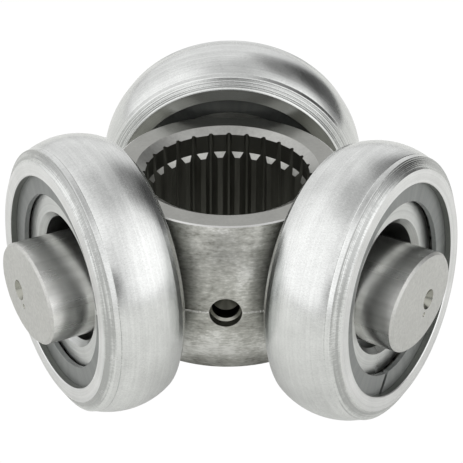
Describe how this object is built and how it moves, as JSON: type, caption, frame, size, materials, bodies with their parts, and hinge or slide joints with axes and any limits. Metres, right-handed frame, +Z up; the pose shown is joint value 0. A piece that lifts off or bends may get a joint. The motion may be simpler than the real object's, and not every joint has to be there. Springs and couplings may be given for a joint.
{
  "type": "tripod joint",
  "caption": "Splined tripod joint spider for a sliding constant-velocity joint, with a crowned needle-bearing roller on each elliptical trunnion.",
  "frame": {"origin": "on the hub's spline axis, in the plane of the trunnions", "axes": "+Z up along the spline axis towards the counterbore; +Y along the rear trunnion; the left and right trunnions at 210 and 330 degrees"},
  "size_m": [0.0798, 0.0747, 0.0481],
  "materials": {
    "forged_steel": "machined forging, satin",
    "roller_steel": "ground and satin finished",
    "ring_steel": "ground",
    "needle_steel": "polished",
    "spring_steel": "dark phosphated, satin"
  },
  "bodies": {
    "spider": {"spider": "forged_steel"},
    "ring_rear": {"inner_ring_rear": "ring_steel"},
    "roller_rear": {"outer_roller_rear": "roller_steel", "outer_washer_rear": "spring_steel", "inner_washer_rear": "spring_steel"},
    "needles_rear": {"needle_rollers_rear": "needle_steel"},
    "ring_left": {"inner_ring_left": "ring_steel"},
    "roller_left": {"outer_roller_left": "roller_steel", "outer_washer_left": "spring_steel", "inner_washer_left": "spring_steel"},
    "needles_left": {"needle_rollers_left": "needle_steel"},
    "ring_right": {"inner_ring_right": "ring_steel"},
    "roller_right": {"outer_roller_right": "roller_steel", "outer_washer_right": "spring_steel", "inner_washer_right": "spring_steel"},
    "needles_right": {"needle_rollers_right": "needle_steel"}
  },
  "joints": [
    {"name": "slide_rear", "type": "slide", "parent": "spider", "child": "ring_rear", "axis": [0, 1, 0], "range_m": [-0.0009, 0.0054]},
    {"name": "spin_rear", "type": "hinge", "parent": "ring_rear", "child": "roller_rear", "pos_m": [0, 0.02783, 0.00065], "axis": [0, 0.9921, 0.1253], "continuous": true},
    {"name": "needle_orbit_rear", "type": "hinge", "parent": "ring_rear", "child": "needles_rear", "pos_m": [0, 0.02783, 0.00065], "axis": [0, 0.9921, 0.1253], "continuous": true},
    {"name": "slide_left", "type": "slide", "parent": "spider", "child": "ring_left", "axis": [-0.866, -0.5, 0], "range_m": [-0.0011, 0.0072]},
    {"name": "spin_left", "type": "hinge", "parent": "ring_left", "child": "roller_left", "pos_m": [-0.02259, -0.01304, 0.00075], "axis": [-0.866, -0.5, 0.0129], "continuous": true},
    {"name": "needle_orbit_left", "type": "hinge", "parent": "ring_left", "child": "needles_left", "pos_m": [-0.02259, -0.01304, 0.00075], "axis": [-0.866, -0.5, 0.0129], "continuous": true},
    {"name": "slide_right", "type": "slide", "parent": "spider", "child": "ring_right", "axis": [0.866, -0.5, 0], "range_m": [-0.0014, 0.0063]},
    {"name": "spin_right", "type": "hinge", "parent": "ring_right", "child": "roller_right", "pos_m": [0.0237, -0.01368, 0.00073], "axis": [0.8644, -0.499, 0.0621], "continuous": true},
    {"name": "needle_orbit_right", "type": "hinge", "parent": "ring_right", "child": "needles_right", "pos_m": [0.0237, -0.01368, 0.00073], "axis": [0.8644, -0.499, 0.0621], "continuous": true}
  ],
  "couplings": [
    {"joint": "needle_orbit_rear", "follows": "spin_rear", "ratio": 0.5372},
    {"joint": "needle_orbit_left", "follows": "spin_left", "ratio": 0.5372},
    {"joint": "needle_orbit_right", "follows": "spin_right", "ratio": 0.5372}
  ]
}
